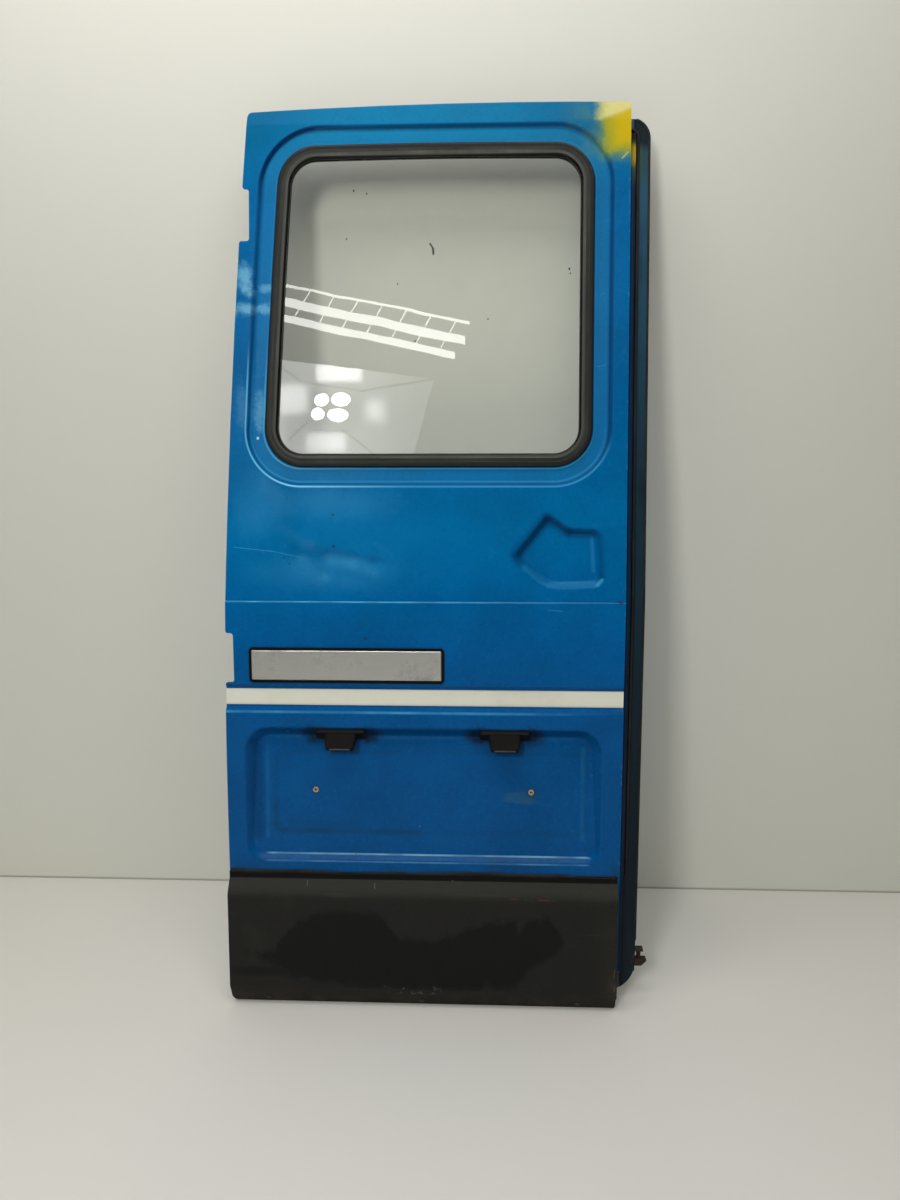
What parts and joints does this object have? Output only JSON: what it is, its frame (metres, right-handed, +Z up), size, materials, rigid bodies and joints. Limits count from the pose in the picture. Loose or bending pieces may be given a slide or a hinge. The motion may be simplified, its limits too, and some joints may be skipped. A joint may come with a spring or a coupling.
{
  "type": "van rear barn door leaf",
  "caption": "Rear barn door leaf of a panel van or campervan: pressed blue steel skin, fixed rubber-set window, plate recess with lamps, dark lower cladding and closing flange.",
  "frame": {"origin": "middle of the flat lower hinge seat on the hinge edge of the inner frame", "axes": "+Z up along the door's height, -Y out of the painted outer face, -X out of the hinge edge"},
  "size_m": [0.742, 0.1388, 1.5496],
  "materials": {
    "blue_paint": "worn semi-gloss blue paint with dents, chips and a yellow spray patch",
    "blue_paint_inside": "thinner, duller blue paint with dust",
    "bare_steel": "dull bare steel",
    "rusty_steel": "dark rusty steel",
    "seal_rubber": "black closing rubber",
    "window_rubber": "aged grey-black window rubber",
    "clear_glass": "clear toughened glass with specks",
    "cladding_plastic": "scuffed charcoal plastic",
    "white_stripe": "slightly dirty white stripe",
    "satin_trim": "plain satin silver face",
    "lamp_plastic": "black lamp plastic",
    "lamp_lens": "dull clear lens",
    "pale_plastic": "pale plastic grommet"
  },
  "bodies": {
    "root": {"outer_skin": "blue_paint", "inner_panel": "blue_paint_inside", "window_frame": "blue_paint_inside", "closing_flange": "blue_paint_inside", "hinge_plate_lower": "bare_steel", "hinge_plate_upper": "bare_steel", "flange_seal": "seal_rubber", "flange_trim": "seal_rubber", "window_gasket": "window_rubber", "gasket_filler": "window_rubber", "window_glass": "clear_glass", "lower_cladding": "cladding_plastic", "cladding_screws": "bare_steel", "stripe_band": "white_stripe", "nameplate_base": "lamp_plastic", "nameplate_face": "satin_trim", "plate_grommets": "pale_plastic", "striker_bracket": "rusty_steel", "striker_pin": "rusty_steel", "plate_lamp_base_hinge_side": "lamp_plastic", "plate_lamp_hood_hinge_side": "lamp_plastic", "plate_lamp_lens_hinge_side": "lamp_lens", "plate_lamp_base_lock_side": "lamp_plastic", "plate_lamp_hood_lock_side": "lamp_plastic", "plate_lamp_lens_lock_side": "lamp_lens"}
  },
  "joints": []
}
